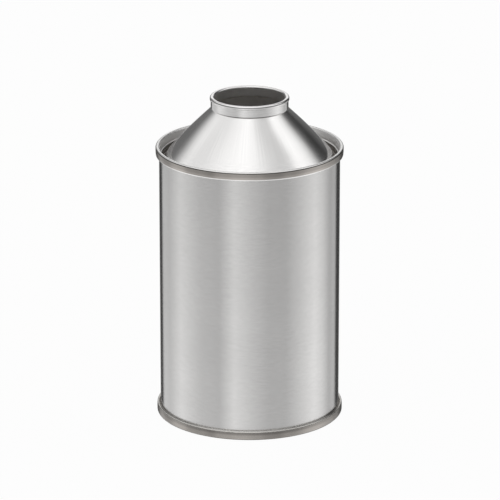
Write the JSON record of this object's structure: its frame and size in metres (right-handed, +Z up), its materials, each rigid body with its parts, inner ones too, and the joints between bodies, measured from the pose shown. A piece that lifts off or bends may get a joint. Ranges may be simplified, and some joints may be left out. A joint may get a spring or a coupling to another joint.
{
  "type": "cone top can",
  "caption": "Cylindrical tinplate can with rolled double seams, a conical top and a short open neck that ends in a rolled bead.",
  "frame": {"origin": "centre of the can on the plane it stands on, at the bottom seam's crest", "axes": "+Z up along the can's axis, from the bottom end to the open neck; the can is round about Z"},
  "size_m": [0.0683, 0.0682, 0.1202],
  "materials": {
    "brushed_tinplate": "brushed round the can, bare tinplate",
    "drawn_tinplate": "satin, spun and drawn, bare tinplate",
    "end_tinplate": "satin, bare tinplate"
  },
  "bodies": {
    "root": {"can_body": "brushed_tinplate", "cone_top": "drawn_tinplate", "bottom_end": "end_tinplate"}
  },
  "joints": []
}
